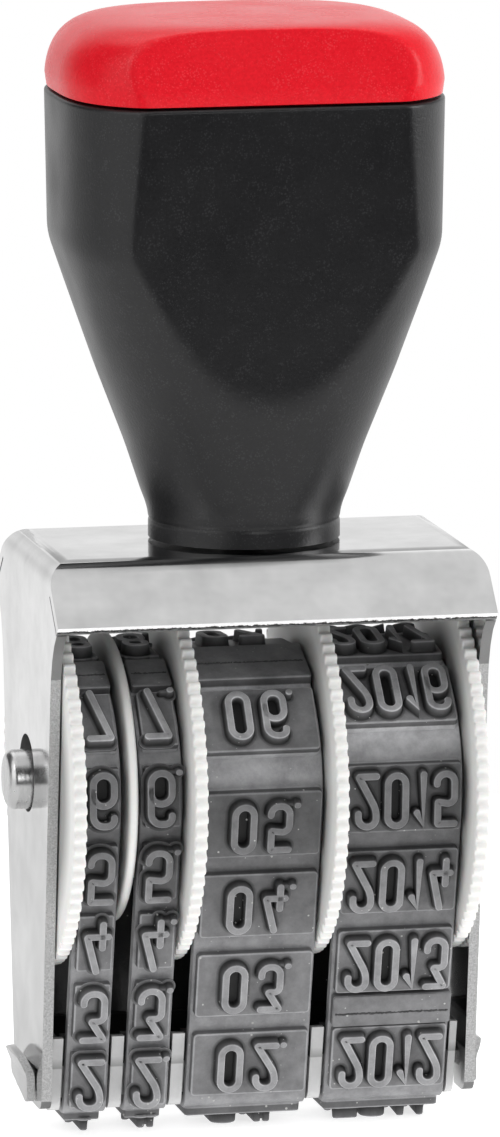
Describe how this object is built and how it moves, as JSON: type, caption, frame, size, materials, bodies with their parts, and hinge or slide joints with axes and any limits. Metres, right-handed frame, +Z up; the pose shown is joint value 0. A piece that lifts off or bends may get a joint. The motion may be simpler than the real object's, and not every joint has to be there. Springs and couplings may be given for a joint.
{
  "type": "date stamp",
  "caption": "Hand date stamp: waisted grip with a domed cap on a bent steel frame, thumb wheels on an axle, and rubber bands with raised mirrored figures.",
  "frame": {"origin": "under the middle of the frame, in the plane of the type faces that print", "axes": "+Z up towards the grip's cap, +X along the wheels' axle towards the year wheel, -Y the front, where the figures are set and read"},
  "size_m": [0.0472, 0.0362, 0.1086],
  "materials": {
    "grip": "fine grain, satin",
    "cap": "satin",
    "chrome": "bright plated",
    "steel": "bright plated",
    "wheel": "smooth moulded",
    "rubber": "matt",
    "bridge": "smooth moulded"
  },
  "bodies": {
    "stamp": {"handle_body": "grip", "handle_cap": "cap", "handle_screw": "steel", "handle_washer": "steel", "frame": "chrome", "wheel_axle": "steel", "tens_band": "rubber", "units_band": "rubber", "month_band": "rubber", "year_band": "rubber", "bridge": "bridge", "bridge_bar": "steel"},
    "tens": {"tens_wheel": "wheel"},
    "units": {"units_wheel": "wheel"},
    "month": {"month_wheel": "wheel"},
    "year": {"year_wheel": "wheel"},
    "divider": {"divider_disc": "wheel"}
  },
  "joints": [
    {"name": "tens_spin", "type": "hinge", "parent": "stamp", "child": "tens", "pos_m": [-0.0174, 0, 0.0345], "axis": [1, 0, 0], "continuous": true},
    {"name": "units_spin", "type": "hinge", "parent": "stamp", "child": "units", "pos_m": [-0.0102, 0, 0.0345], "axis": [1, 0, 0], "continuous": true},
    {"name": "month_spin", "type": "hinge", "parent": "stamp", "child": "month", "pos_m": [-0.0003, 0, 0.0345], "axis": [1, 0, 0], "continuous": true},
    {"name": "year_spin", "type": "hinge", "parent": "stamp", "child": "year", "pos_m": [0.0135, 0, 0.0345], "axis": [1, 0, 0], "continuous": true},
    {"name": "divider_spin", "type": "hinge", "parent": "stamp", "child": "divider", "pos_m": [-0.0138, 0, 0.0345], "axis": [1, 0, 0], "continuous": true}
  ]
}
